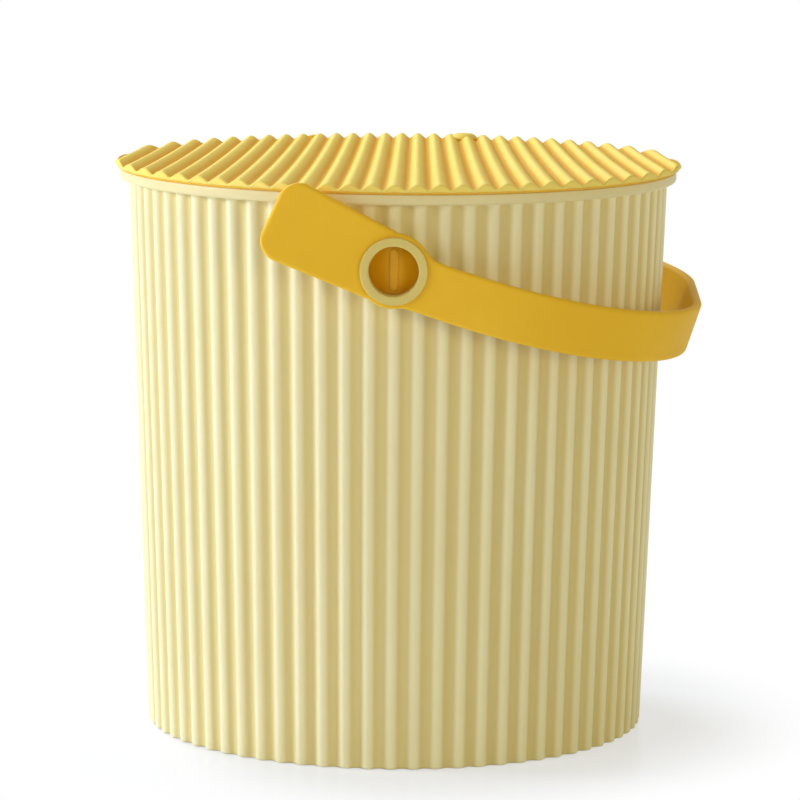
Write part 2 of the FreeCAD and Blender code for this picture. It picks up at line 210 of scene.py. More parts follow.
def bucket_rings():
    """Rings up the outside, over the rim and down the inside to the floor."""
    rings = [
        wall_ring(MIDDLE_RING, 0, 0),
        wall_ring(BASE_CREST - PLAIN_UNDERSIDE, 0, 0),
        wall_ring(BASE_CREST - FLUTED_UNDERSIDE, 0, 1),
    ]
    base_centre = (crest_radius(BASE_EDGE) - BASE_EDGE, BASE_EDGE)
    for radius, height in fillet_points(base_centre, BASE_EDGE, -90, 0, 5):
        rings.append(wall_ring(radius, height, 1))
    rim_base = BUCKET_HEIGHT - RIM_HEIGHT
    for height in np.linspace(3, rim_base - 1.6, 14):
        rings.append(wall_ring(crest_radius(height), height, 1))
    for drop, share, flutes in RIM_BLEND:
        height = rim_base - drop
        rings.append(wall_ring(crest_radius(height) + share * RIM_HOLLOW, height, flutes))
    under_centre = (RIM_RADIUS - RIM_UNDER_EDGE, rim_base + RIM_UNDER_EDGE)
    plain = fillet_points(under_centre, RIM_UNDER_EDGE, -88, 0, 7)
    top_level = BUCKET_HEIGHT - RIM_TOP_EDGE
    plain += fillet_points((RIM_RADIUS - RIM_TOP_EDGE, top_level), RIM_TOP_EDGE, 0, 90, 5)
    mouth = bore_radius(BUCKET_HEIGHT)
    plain += fillet_points((mouth + RIM_TOP_EDGE, top_level), RIM_TOP_EDGE, 90, 180, 5)
    corner_level = FLOOR + FLOOR_CORNER
    levels = np.linspace(BUCKET_HEIGHT - 6, corner_level + 1, 8)
    plain += [(bore_radius(height), height) for height in levels]
    corner_centre = (bore_radius(corner_level) - FLOOR_CORNER, corner_level)
    plain += fillet_points(corner_centre, FLOOR_CORNER, 0, -90, 8)
    plain.append((MIDDLE_RING, FLOOR))
    return rings + [wall_ring(radius, height, 0) for radius, height in plain]


bucket = capped_skin("bucket_body", bucket_rings(), [[0, 0, 0]], [[0, 0, FLOOR]])
print("bucket faces:", len(bucket.data.polygons))

# %% [markdown]
# ## The pivot bosses
# At the front and the rear a round boss stands out of the wall and carries the handle. Each has a blind
# socket for its bush. The boss is turned as its own skin, its back end following the curve of
# the wall, and is then joined to the bucket so that one moulding remains.

# %% Pivot bosses
PIVOT_HEIGHT = 224.6
BOSS_RADIUS = 15.0
BOSS_FACE = 131.7
SOCKET_RADIUS = 13.0
SOCKET_DEPTH = 8.0
BOSS_EDGE = 0.8
SHARP_ANGLE = math.radians(50)
SIDES = (("front", -1), ("rear", 1))
turn_steps = np.linspace(0, 2 * math.pi, 96, endpoint=False)


def pivot_ring(radius, distance, side):
    """A ring round the pivot axis, at a distance out from the bucket's axis."""
    return np.column_stack([
        side * radius * np.cos(turn_steps),
        np.full_like(turn_steps, side * distance),
        PIVOT_HEIGHT + radius * np.sin(turn_steps),
    ])


def boss(name, side):
    """A round boss whose back end lies in the middle of the wall."""
    back = pivot_ring(BOSS_RADIUS, 0, side)
    seat = bore_radius(back[:, 2]) + 0.5 * WALL
    back[:, 1] = side * np.sqrt(seat ** 2 - back[:, 0] ** 2)
    rings = [back]
    edge_centre = (BOSS_RADIUS - BOSS_EDGE, BOSS_FACE - BOSS_EDGE)
    for radius, distance in fillet_points(edge_centre, BOSS_EDGE, 0, 90, 5):
        rings.append(pivot_ring(radius, distance, side))
    rings.append(pivot_ring(SOCKET_RADIUS, BOSS_FACE, side))
    rings.append(pivot_ring(SOCKET_RADIUS, BOSS_FACE - SOCKET_DEPTH, side))
    start = [[0, side * (bore_radius(PIVOT_HEIGHT) + 0.5 * WALL), PIVOT_HEIGHT]]
    end = [[0, side * (BOSS_FACE - SOCKET_DEPTH), PIVOT_HEIGHT]]
    return capped_skin(name, rings, start, end)


for name, side in SIDES:
    combine(bucket, boss(name + "_boss", side), "UNION")
bucket.data.set_sharp_from_angle(angle=SHARP_ANGLE)
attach(bucket, "bucket")
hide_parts("bucket_shell")
print("bucket with bosses:", len(bucket.data.polygons), "faces")

# %% [markdown]
# ## The top of the lid
# The lid is a thin plate whose ridges run from front to back and draw together slightly to the rear.
# A grid whose columns follow the ridges keeps every crest a clean line; each column is stretched
# between the near and the far edge of the circle. The ridges are rounder on top than in the
# troughs, and the plate sinks slightly to its middle, which is why the ridges look gently curved
# from a low camera.

# %% Lid top
LID_RADIUS = 130.0
LID_PLATE = 2.2
RIDGE_HEIGHT = 2.5
RIDGE_PITCH = 8.87
RIDGE_FULLNESS = 0.66
LID_DISH = 1.5
FAN_DISTANCE = 1200.0
LID_EDGE = 0.9
COLUMNS_PER_RIDGE = 18
EVEN_SHARE = 0.97
ROWS = 64

trough_height = BUCKET_HEIGHT + LID_PLATE
crest_height = trough_height + RIDGE_HEIGHT
top_radius = LID_RADIUS - LID_EDGE


def ridge_top(across):
    """Height of the ridged top where a column crosses the middle of the lid."""
    wave = 0.5 + 0.5 * np.cos(2 * math.pi * across / RIDGE_PITCH)
    return trough_height + RIDGE_HEIGHT * wave ** RIDGE_FULLNESS


def column_ends(across):
    """Where a fanned column meets the lid's top circle, near and far."""
    slope = across / FAN_DISTANCE
    a = 1 + slope ** 2
    b = -2 * across * slope
    c = across ** 2 - top_radius ** 2
    root = np.sqrt(np.maximum(b * b - 4 * a * c, 0))
    return (-b - root) / (2 * a), (-b + root) / (2 * a)


widest = top_radius * math.sqrt(1 + (top_radius / FAN_DISTANCE) ** 2)
even = np.arange(-widest * EVEN_SHARE, widest * EVEN_SHARE, RIDGE_PITCH / COLUMNS_PER_RIDGE)
tips = widest * np.cos(np.radians(np.linspace(1.5, 14, 10)))
columns = np.unique(np.round(np.concatenate([even, tips, -tips]), 4))


def lid_top_points():
    """Grid of the top, one row of points for each column."""
    near, far = column_ends(columns)
    step = 0.5 - 0.5 * np.cos(np.linspace(0, math.pi, ROWS))
    depth = near[:, None] + (far - near)[:, None] * step[None, :]
    across = columns[:, None] * (1 - depth / FAN_DISTANCE)
    sunk = LID_DISH * (1 - (across ** 2 + depth ** 2) / top_radius ** 2)
    height = ridge_top(columns)[:, None] - sunk
    return np.stack([across, depth, height], axis=2)


print("lid columns:", len(columns))

# %% [markdown]
# ## The lid's edge and skirt
# The border of the grid becomes the first ring of the lid's edge, which rounds over, leans in and ends in
# the skirt that keeps the loose lid from sliding. Building it from the same points leaves no seam
# between the waves of the top and the plain underside.

# %% Lid edge and skirt
LID_INSET = 2.0
SKIRT_RADIUS = 118.6
SKIRT_WALL = 2.0
SKIRT_DEPTH = 8.0
SKIRT_EDGE = 0.7
SKIRT_ROOT = 0.4
INNER_ROOT_DROP = 0.5
INNER_ROOT_WIDTH = 0.8
LEAN_HEIGHT = 1.0
LOWER_EDGE_HEIGHT = 0.35
LOWER_EDGE_WIDTH = 0.5
EDGE_BENDS = (30, 60, 90)
LID_SHARP_ANGLE = math.radians(60)


def lid_border():
    """Indices of the grid's border, once round."""
    last = len(columns) - 1
    near = [c * ROWS for c in range(last + 1)]
    right = [last * ROWS + r for r in range(1, ROWS)]
    far = [c * ROWS + ROWS - 1 for c in range(last - 1, -1, -1)]
    left = [r for r in range(ROWS - 2, 0, -1)]
    return near + right + far + left


def lid_piece():
    """The ridged top, its rounded edge, the skirt and the flat underside as one skin."""
    grid = lid_top_points()
    points = [tuple(p) for p in grid.reshape(-1, 3)]
    faces = []
    for c in range(len(columns) - 1):
        for r in range(ROWS - 1):
            a = c * ROWS + r
            faces.append((a, a + ROWS, a + ROWS + 1, a + 1))
    border = lid_border()
    edge = np.array([points[i] for i in border])
    out = edge[:, :2] / np.linalg.norm(edge[:, :2], axis=1)[:, None]

    def ring(radius, height):
        start = len(points)
        for direction, level in zip(out, np.broadcast_to(height, len(out))):
            points.append((direction[0] * radius, direction[1] * radius, level))
        return list(range(start, len(points)))

    loops = [border]
    for angle in EDGE_BENDS:
        bend = math.radians(angle)
        drop = LID_EDGE * (1 - math.cos(bend))
        loops.append(ring(top_radius + LID_EDGE * math.sin(bend), edge[:, 2] - drop))
    low = BUCKET_HEIGHT
    foot = low - SKIRT_DEPTH
    lower_edge = LID_RADIUS - LID_INSET
    skirt_inside = SKIRT_RADIUS - SKIRT_WALL
    for radius, height in (
        (LID_RADIUS - 0.5 * LID_INSET, low + LEAN_HEIGHT),
        (lower_edge, low + LOWER_EDGE_HEIGHT),
        (lower_edge - LOWER_EDGE_WIDTH, low),
        (SKIRT_RADIUS + SKIRT_ROOT, low),
        (SKIRT_RADIUS, low - SKIRT_ROOT),
        (SKIRT_RADIUS, foot + SKIRT_EDGE),
        (SKIRT_RADIUS - SKIRT_EDGE, foot),
        (skirt_inside + SKIRT_EDGE, foot),
        (skirt_inside, foot + SKIRT_EDGE),
        (skirt_inside, low - INNER_ROOT_DROP),
        (skirt_inside - INNER_ROOT_WIDTH, low),
        (MIDDLE_RING, low),
    ):
        loops.append(ring(radius, height))
    count = len(border)
    for upper, lower in zip(loops, loops[1:]):
        for i in range(count):
            j = (i + 1) % count
            faces.append((upper[j], upper[i], lower[i], lower[j]))
    points.append((0, 0, low))
    centre = len(points) - 1
    inner = loops[-1]
    for i in range(count):
        faces.append((centre, inner[(i + 1) % count], inner[i]))
    return new_piece("lid_cover", points, faces)


lid = lid_piece()
print("lid faces:", len(lid.data.polygons))

# %% [markdown]
# ## The finger tab
# On the far edge a small round bump shows above the ridges: a tab to lift the lid by. It is a turned
# button that stands on the rim and is joined to the lid, slightly to the right of the middle.

# %% Finger tab
TAB_RADIUS = 7.0
TAB_TOP = 262.3
TAB_DOME = 4.2
TAB_MIDDLE = 124.0
TAB_TURN = math.radians(14.2)
TAB_FOOT = BUCKET_HEIGHT + 0.1
TAB_FOOT_EDGE = 0.6

tab_x = TAB_MIDDLE * math.sin(TAB_TURN)
tab_y = TAB_MIDDLE * math.cos(TAB_TURN)


def tab_ring(radius, height):
    """A level ring round the tab's own axis."""
    return np.column_stack([
        tab_x + radius * np.cos(turn_steps),
        tab_y + radius * np.sin(turn_steps),
        np.full_like(turn_steps, height),
    ])


tab_rings = [tab_ring(TAB_RADIUS - TAB_FOOT_EDGE, TAB_FOOT), tab_ring(TAB_RADIUS, TAB_FOOT + TAB_FOOT_EDGE)]
for radius, height in fillet_points((TAB_RADIUS - TAB_DOME, TAB_TOP - TAB_DOME), TAB_DOME, 0, 88, 9):
    tab_rings.append(tab_ring(radius, height))
tab = capped_skin("lid_tab", tab_rings, [[tab_x, tab_y, TAB_FOOT]], [[tab_x, tab_y, TAB_TOP]])
combine(lid, tab, "UNION")
lid.data.set_sharp_from_angle(angle=LID_SHARP_ANGLE)
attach(lid, "lid")
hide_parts("lid")
print("lid with tab:", len(lid.data.polygons), "faces")

# %% [markdown]
# ## The handle's outline
# Seen from the side the handle is a gently bowed strap, a round hub at the pivot and a broad tail
# with round corners. One test says whether a point lies inside that outline; each cross-section
# of the band then searches outward from its middle for the edge. That keeps hub, hollows and
# tail in one place instead of a table of widths.

# %% Handle outline
ARM_INSIDE = 132.0
ARM_THICKNESS = 4.0
STRAP_WIDTH = 23.6
STRAP_DROP = 2.0
BOW_RADIUS = 950.0
HUB_RADIUS = 16.5
HOLLOW_RADIUS = 12.0
TAIL_LENGTH = 58.5
TAIL_ROOT = 15.5
TAIL_END = 18.5
TAIL_CORNER = 10.0
TAIL_TURN = math.radians(5.2)
SEARCH_STEPS = 40

strap_top = 0.5 * STRAP_WIDTH - STRAP_DROP
strap_bottom = -0.5 * STRAP_WIDTH - STRAP_DROP


def bow(along):
    """How far the strap has risen at a distance from the pivot."""
    return BOW_RADIUS - math.sqrt(BOW_RADIUS ** 2 - along ** 2)


def in_hollow(along, level, up, edge):
    """Whether a point is in the fill between the hub and an edge at a level."""
    middle = (math.sqrt((HUB_RADIUS + HOLLOW_RADIUS) ** 2 - (abs(edge) + HOLLOW_RADIUS) ** 2),
              abs(edge) + HOLLOW_RADIUS)
    share = HUB_RADIUS / (HUB_RADIUS + HOLLOW_RADIUS)
    height = level if up else -level
    if not middle[0] * share <= along <= middle[0] or not 0 <= height <= middle[1]:
        return False
    return math.hypot(along - middle[0], height - middle[1]) >= HOLLOW_RADIUS


def in_tail(along, level):
    """Whether a point in the tail's own frame is inside the tail."""
    if not 0 <= along <= TAIL_LENGTH:
        return False
    half = TAIL_ROOT + (TAIL_END - TAIL_ROOT) * along / TAIL_LENGTH
    past = along - (TAIL_LENGTH - TAIL_CORNER)
    if past > 0:
        half += math.sqrt(max(TAIL_CORNER ** 2 - past ** 2, 0)) - TAIL_CORNER
    return abs(level) <= half


def in_outline(u, v):
    """Whether a point of the side view belongs to the handle; u is along the strap."""
    if math.hypot(u, v) <= HUB_RADIUS:
        return True
    if u >= 0:
        level = v - bow(u)
        if strap_bottom <= level <= strap_top:
            return True
        return in_hollow(u, level, True, strap_top) or in_hollow(u, level, False, strap_bottom)
    along = -u * math.cos(TAIL_TURN) + v * math.sin(TAIL_TURN)
    level = u * math.sin(TAIL_TURN) + v * math.cos(TAIL_TURN)
    if in_tail(along, level):
        return True
    return in_hollow(along, level, True, TAIL_ROOT) or in_hollow(along, level, False, -TAIL_ROOT)


def edge_distance(u, v, direction):
    """How far the outline's edge is from an inside point."""
    near = 0.0
    far = 2 * TAIL_END
    for _ in range(SEARCH_STEPS):
        middle = 0.5 * (near + far)
        if in_outline(u + direction[0] * middle, v + direction[1] * middle):
            near = middle
        else:
            far = middle
    return near


print("strap from", strap_bottom, "to", strap_top)

# %% [markdown]
# ## The handle's arms
# The band is a loop of cross-sections, each a rounded rectangle. The first ones run along the tail, past
# the hub and on to where the strap starts to bend. Extra points close to each rounding keep the
# broad faces flat in the shading, and the last few sections at each tail shrink to a rounded end.

# %% Handle arms
HANDLE_REACH = 139.8
HANDLE_CORNER = 108.0
EDGE_RADIUS = 1.7
EDGE_STEPS = 5
FACE_STEPS = 8
FACE_INSET = 0.3
TURN_ZONE = 10.0
HUB_ZONE = 19.0
TAIL_ZONE_END = 20.0
STRAP_ZONE_START = 20.5
CORNER_GAP = 1.5
SMALLEST_EDGE = 0.02
TIP_STATIONS = 9
TAIL_STATIONS = 18
HUB_STATIONS = 54
STRAP_STATIONS = 7
half_thick = 0.5 * ARM_THICKNESS
arm_middle = ARM_INSIDE + half_thick
corner_u = HANDLE_REACH - HANDLE_CORNER


def section_loop(low, high, thick, edge):
    """A rounded rectangle as (offset, level) pairs: outer face up, inner face down."""
    inset = min(FACE_INSET, 0.2 * (high - low))
    rise = np.linspace(low + edge + inset, high - edge - inset, FACE_STEPS - 1)
    face = [low + edge] + list(rise) + [high - edge]
    bends = np.radians(np.linspace(0, 90, EDGE_STEPS))[1:-1]
    loop = [(thick, level) for level in face]
    loop += [(thick - edge + edge * math.cos(b), high - edge + edge * math.sin(b)) for b in bends]
    loop += [(thick - edge, high), (edge - thick, high)]
    loop += [(edge - thick - edge * math.sin(b), high - edge + edge * math.cos(b)) for b in bends]
    loop += [(-thick, level) for level in reversed(face)]
    loop += [(edge - thick - edge * math.cos(b), low + edge - edge * math.sin(b)) for b in bends]
    loop += [(edge - thick, low), (thick - edge, low)]
    loop += [(thick - edge + edge * math.sin(b), low + edge - edge * math.cos(b)) for b in bends]
    return loop


def arm_stations():
    """Where the sections of one arm lie along it, from the tail's end, with half their thickness."""
    stations = []
    for angle in np.radians(np.linspace(90, 0, EDGE_STEPS)):
        along = TAIL_LENGTH - EDGE_RADIUS + EDGE_RADIUS * math.sin(angle)
        stations.append((-along, half_thick - EDGE_RADIUS + EDGE_RADIUS * math.cos(angle)))
    for angle in np.radians(np.linspace(75, 0, TIP_STATIONS)):
        along = TAIL_LENGTH - TAIL_CORNER + TAIL_CORNER * math.sin(angle)
        if along < TAIL_LENGTH - EDGE_RADIUS - 0.1:
            stations.append((-along, half_thick))
    tail = -np.linspace(TAIL_LENGTH - TAIL_CORNER - CORNER_GAP, TAIL_ZONE_END, TAIL_STATIONS)
    hub = np.linspace(-HUB_ZONE, HUB_ZONE, HUB_STATIONS)
    strap = np.linspace(STRAP_ZONE_START, corner_u, STRAP_STATIONS)
    return stations + [(along, half_thick) for along in np.concatenate([tail, hub, strap])]


def arm_sections():
    """Sections along one flat arm, from the tail's end to where the corner starts."""
    placed = []
    for along, thick in arm_stations():
        lean = TAIL_TURN * min(max((TURN_ZONE - along) / (2 * TURN_ZONE), 0), 1)
        middle = (along * math.cos(lean), -along * math.sin(lean)) if along < 0 else (along, bow(along))
        up = (math.sin(lean), math.cos(lean))
        high = edge_distance(*middle, up)
        low = edge_distance(*middle, (-up[0], -up[1]))
        edge = min(EDGE_RADIUS, max(thick - (half_thick - EDGE_RADIUS), SMALLEST_EDGE))
        ring = [(middle[0] + up[0] * level, arm_middle + offset, middle[1] + up[1] * level)
                for offset, level in section_loop(-low, high, thick, edge)]
        placed.append(ring)
    return placed


arm = arm_sections()
print("sections along one arm:", len(arm))

# %% [markdown]
# ## The handle's loop
# From the arms the strap bends round two wide corners to the grip. The front half is the rear half
# mirrored. At last the whole band is hung at the angle in the photograph. The strap hangs with a slight
# twist, its rear arm higher than its front arm, so the angle changes evenly across the handle.

# %% Handle loop
REST_ANGLE = math.radians(19.5)
TWIST = math.radians(3.4)
CORNER_STATIONS = 49
GRIP_STATIONS = 7
corner_y = ARM_INSIDE + ARM_THICKNESS - HANDLE_CORNER
corner_mid = HANDLE_CORNER - half_thick


def corner_sections():
    """Sections round one corner and half of the grip."""
    placed = []
    spots = [(corner_u, corner_y, angle) for angle in np.linspace(0, 90, CORNER_STATIONS)[1:]]
    spots += [(corner_u, y, 90) for y in np.linspace(corner_y, 0, GRIP_STATIONS)[1:]]
    for u, y, angle in spots:
        turn = math.radians(angle)
        ring = []
        for offset, level in section_loop(strap_bottom, strap_top, half_thick, EDGE_RADIUS):
            along = u + (corner_mid + offset) * math.sin(turn)
            ring.append((along, y + (corner_mid + offset) * math.cos(turn), level + bow(along)))
        placed.append(ring)
    return placed


def handle_rings():
    """All sections from the rear tail round the grip to the front tail."""
    rear = arm + corner_sections()
    front = [[(u, -y, v) for u, y, v in ring] for ring in rear[-2::-1]]
    flat = np.array(rear + front)
    u, y, v = flat[..., 0], flat[..., 1], flat[..., 2]
    hang = REST_ANGLE - TWIST * (0.5 + 0.5 * y / arm_middle)
    x = u * np.cos(hang) + v * np.sin(hang)
    z = PIVOT_HEIGHT - u * np.sin(hang) + v * np.cos(hang)
    return np.stack([x, y, z], axis=2)


rings = handle_rings()
handle = capped_skin("handle_strap", rings, [rings[0].mean(axis=0)], [rings[-1].mean(axis=0)])
print("handle faces:", len(handle.data.polygons))

# %% [markdown]
# ## The eyes of the handle
# Each arm has a round eye that turns on its bush. The eyes are cut with one long rod, which goes
# through both arms along the pivot axis, as a drill would.

# %% Handle eyes
EYE_RADIUS = 13.08
ROD_REACH = ARM_INSIDE + 20


def eye_rod():
    """A rod through both arms."""
    rings = [pivot_ring(EYE_RADIUS, distance, 1) for distance in (-ROD_REACH, ROD_REACH)]
    ends = [[[0, ring[0][1], PIVOT_HEIGHT]] for ring in rings]
    return capped_skin("eye_rod", rings, *ends)


combine(handle, eye_rod(), "DIFFERENCE")
handle.data.set_sharp_from_angle(angle=SHARP_ANGLE)
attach(handle, "handle")
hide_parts("handle")
print("handle with eyes:", len(handle.data.polygons), "faces")

# %% [markdown]
# ## The bushes
# A cream flanged bush sits in each eye and shows as a flat ring. It is turned about the pivot axis, and
# its profile closes on itself, so the bush is a tube. Every edge that shows has a small rounding.

# %% Bushes
SLEEVE_RADIUS = 13.0
BUSH_BORE = 10.8
FLANGE_RADIUS = 14.7
FLANGE_BACK = 136.3
FLANGE_FACE = 137.8
BUSH_BACK = 124.0
FLANGE_EDGE = 0.6
FLANGE_BACK_EDGE = 0.3
MOUTH_EDGE = 0.9
FLAT_GAP = 0.15
BORE_GAP = 0.3


def bush(name, side):
    """A flanged tube with rounded edges."""
    profile = [(BUSH_BORE, BUSH_BACK), (SLEEVE_RADIUS, BUSH_BACK), (SLEEVE_RADIUS, FLANGE_BACK)]
    profile += [(FLANGE_RADIUS - FLANGE_BACK_EDGE, FLANGE_BACK)]
    profile += [(FLANGE_RADIUS, FLANGE_BACK + FLANGE_BACK_EDGE)]
    outer = FLANGE_RADIUS - FLANGE_EDGE
    profile += fillet_points((outer, FLANGE_FACE - FLANGE_EDGE), FLANGE_EDGE, 0, 90, 6)
    inner = BUSH_BORE + MOUTH_EDGE
    profile += [(outer - FLAT_GAP, FLANGE_FACE), (inner + FLAT_GAP, FLANGE_FACE)]
    profile += fillet_points((inner, FLANGE_FACE - MOUTH_EDGE), MOUTH_EDGE, 90, 180, 6)
    profile += [(BUSH_BORE, FLANGE_FACE - MOUTH_EDGE - BORE_GAP)]
    rings = np.array([pivot_ring(radius, distance, side) for radius, distance in profile])
    count, size, _ = rings.shape
    faces = ring_faces(count, size)
    last = (count - 1) * size
    for i in range(size):
        j = (i + 1) % size
        faces.append((last + i, last + j, j, i))
    return new_piece(name, rings.reshape(-1, 3), faces)


for name, side in SIDES:
    piece = bush(name + "_bush", side)
    piece.data.set_sharp_from_angle(angle=SHARP_ANGLE)
    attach(piece, "bucket")
    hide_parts(name + "_pivot_bush")
print("two bushes")

# %% [markdown]
# ## The plugs
# A yellow plug closes the bore of each bush, set back from the ring's face. A low upright bar with a
# rounded top stands on it. The bar is a stack of shrinking outlines, joined to the disc.

# %% Plugs
PLUG_FACE = 129.8
PLUG_BACK = 126.8
PLUG_EDGE = 0.3
BAR_HALF_WIDTH = 2.0
BAR_HALF_LENGTH = 9.2
BAR_ROOT = -1.0
BAR_RISE = 0.7
# Height over the plug's face, and how far the bar's outline has drawn in there.
BAR_OUTLINES = ((BAR_ROOT, 0), (0.25, 0), (0.5, 0.2), (0.65, 0.6), (BAR_RISE, 1.2))


def plug_disc(name, side):
    """A plain disc with one rounded edge."""
    profile = [(BUSH_BORE, PLUG_BACK), (BUSH_BORE, PLUG_FACE - PLUG_EDGE)]
    profile += [(BUSH_BORE - PLUG_EDGE, PLUG_FACE)]
    rings = [pivot_ring(radius, distance, side) for radius, distance in profile]
    ends = [[[0, side * distance, PIVOT_HEIGHT]] for distance in (PLUG_BACK, PLUG_FACE)]
    return capped_skin(name, rings, *ends)


def plug_bar(name, side):
    """A low bar with a rounded top, from a half-round outline that shrinks as it rises."""
    rings = []
    around = np.linspace(0, 2 * math.pi, 48, endpoint=False)
    for rise, shrink in BAR_OUTLINES:
        half = BAR_HALF_WIDTH - shrink
        reach = BAR_HALF_LENGTH - BAR_HALF_WIDTH
        x = side * half * np.cos(around)
        z = half * np.sin(around) + reach * np.sign(np.sin(around))
        rings.append(np.column_stack([x, np.full_like(x, side * (PLUG_FACE + rise)), PIVOT_HEIGHT + z]))
    ends = [[[0, side * (PLUG_FACE + rise), PIVOT_HEIGHT]] for rise in (BAR_ROOT, BAR_RISE)]
    return capped_skin(name, rings, *ends)


for name, side in SIDES:
    piece = plug_disc(name + "_plug", side)
    combine(piece, plug_bar(name + "_bar", side), "UNION")
    piece.data.set_sharp_from_angle(angle=SHARP_ANGLE)
    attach(piece, "bucket")
    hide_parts(name + "_pivot_plug")
print("two plugs")

# %% [markdown]
# ## Helpers for node groups
# All pieces are moulded from the same kind of satin plastic, so they share several effects. Each effect
# is a node group with its own inputs, built once and placed in a material with that piece's values. A
# few helpers make the sockets, the links and the arithmetic short to write.

# %% Group helpers
NOISE_LOW = 0.3
NOISE_HIGH = 0.7


def new_group(name, inputs, outputs):
    """A shader group with float or colour sockets and its two end nodes."""
    group = bpy.data.node_groups.new(name, "ShaderNodeTree")
    for label, kind, value in inputs:
        socket = group.interface.new_socket(name=label, in_out="INPUT", socket_type=kind)
        socket.default_value = value
    for label, kind in outputs:
        group.interface.new_socket(name=label, in_out="OUTPUT", socket_type=kind)
    start = group.nodes.new("NodeGroupInput")
    end = group.nodes.new("NodeGroupOutput")
    return group, start, end


def wire(tree, *pairs):
    """Link each source socket to its target socket."""
    for source, target in pairs:
        tree.links.new(source, target)


def noise(tree, vector, scale, detail, rough):
    """A cloudy value between 0 and 1."""
    node = tree.nodes.new("ShaderNodeTexNoise")
    node.inputs["Scale"].default_value = scale
    node.inputs["Detail"].default_value = detail
    node.inputs["Roughness"].default_value = rough
    tree.links.new(vector, node.inputs["Vector"])
    return node.outputs["Fac"]


def spread(tree, value, low, high):
    """Map the middle of a noise to a range."""
    node = tree.nodes.new("ShaderNodeMapRange")
    node.inputs["From Min"].default_value = NOISE_LOW
    node.inputs["From Max"].default_value = NOISE_HIGH
    for label, bound in (("To Min", low), ("To Max", high)):
        if isinstance(bound, (int, float)):
            node.inputs[label].default_value = bound
        else:
            tree.links.new(bound, node.inputs[label])
    tree.links.new(value, node.inputs["Value"])
    return node.outputs["Result"]


def calculate(tree, operation, first, second):
    """One step of arithmetic; each side is a number or a socket."""
    node = tree.nodes.new("ShaderNodeMath")
    node.operation = operation
    for socket, value in zip(node.inputs, (first, second)):
        if isinstance(value, (int, float)):
            socket.default_value = value
        else:
            tree.links.new(value, socket)
    return node.outputs["Value"]


def axis_distance(tree, parts):
    """How far a point is from the bucket's axis."""
    across = calculate(tree, "MULTIPLY", parts.outputs["X"], parts.outputs["X"])
    along = calculate(tree, "MULTIPLY", parts.outputs["Y"], parts.outputs["Y"])
    return calculate(tree, "SQRT", calculate(tree, "ADD", across, along), 0.0)


print("group helpers ready")

# %% [markdown]
# ## Moulded grain and drifting tint
# The mould leaves a fine grain that breaks up the gloss, and the pigment is not perfectly mixed, so the
# tint drifts slowly over a piece. Noise in the object's own space gives both without any picture.

# %% Grain and tint groups
GRAIN_SCALE = 1800.0
GLOSS_PATCH_SCALE = 45.0
DRIFT_SCALE = 14.0


def moulded_grain_group():
    """The height of a fine grain, and a roughness that wanders in slow patches."""
    group, start, end = new_group(
        "moulded_grain",
        [("Grain Scale", "NodeSocketFloat", GRAIN_SCALE), ("Rough Low", "NodeSocketFloat", 0.4),
         ("Rough High", "NodeSocketFloat", 0.5)],
        [("Height", "NodeSocketFloat"), ("Roughness", "NodeSocketFloat")],
    )
    place = group.nodes.new("ShaderNodeTexCoord").outputs["Object"]
    fine = noise(group, place, GRAIN_SCALE, 3.0, 0.6)
    wire(group, (start.outputs["Grain Scale"], fine.node.inputs["Scale"]))
    slow = noise(group, place, GLOSS_PATCH_SCALE, 4.0, 0.55)
    rough = spread(group, slow, start.outputs["Rough Low"], start.outputs["Rough High"])
    wire(group, (fine, end.inputs["Height"]), (rough, end.inputs["Roughness"]))
    return group


def tint_drift_group():
    """A colour that wanders slightly between a lighter and a deeper tint."""
    group, start, end = new_group(
        "tint_drift",
        [("Tint", "NodeSocketColor", (1, 1, 1, 1)), ("Deeper Tint", "NodeSocketColor", (1, 1, 1, 1)),
         ("Drift Scale", "NodeSocketFloat", DRIFT_SCALE)],
        [("Color", "NodeSocketColor")],
    )
    place = group.nodes.new("ShaderNodeTexCoord").outputs["Object"]
    cloud = noise(group, place, DRIFT_SCALE, 5.0, 0.6)
    wire(group, (start.outputs["Drift Scale"], cloud.node.inputs["Scale"]))
    share = spread(group, cloud, 0.0, 1.0)
    mix = group.nodes.new("ShaderNodeMix")
    mix.data_type = "RGBA"
    wire(group, (share, mix.inputs["Factor"]), (start.outputs["Tint"], mix.inputs["A"]),
         (start.outputs["Deeper Tint"], mix.inputs["B"]), (mix.outputs["Result"], end.inputs["Color"]))
    return group


grain_group = moulded_grain_group()
drift_group = tint_drift_group()
print("groups:", [group.name for group in bpy.data.node_groups])

# %% [markdown]
# ## Painted shade in the hollows
# In the valleys of the flutes and the troughs of the lid the plastic looks a deeper yellow, because light
# goes to and fro between the sides of a hollow and takes up colour each time; here that shade is painted
# into the colour. Two masks find the hollows from a point's place: the flutes by its distance from the
# bucket's axis, the troughs by its height, with the lid's slight dish taken away. A material mixes the
# deeper tint in by the mask as painted shade, and the flute mask gives the plain rim part of it too.

# %% Painted shade masks
VALLEY_START = 0.1
VALLEY_FULL = 0.75
INSIDE_DEPTH = 1.2
RIM_DEPTH = -0.6
RIM_SHARE = 0.6


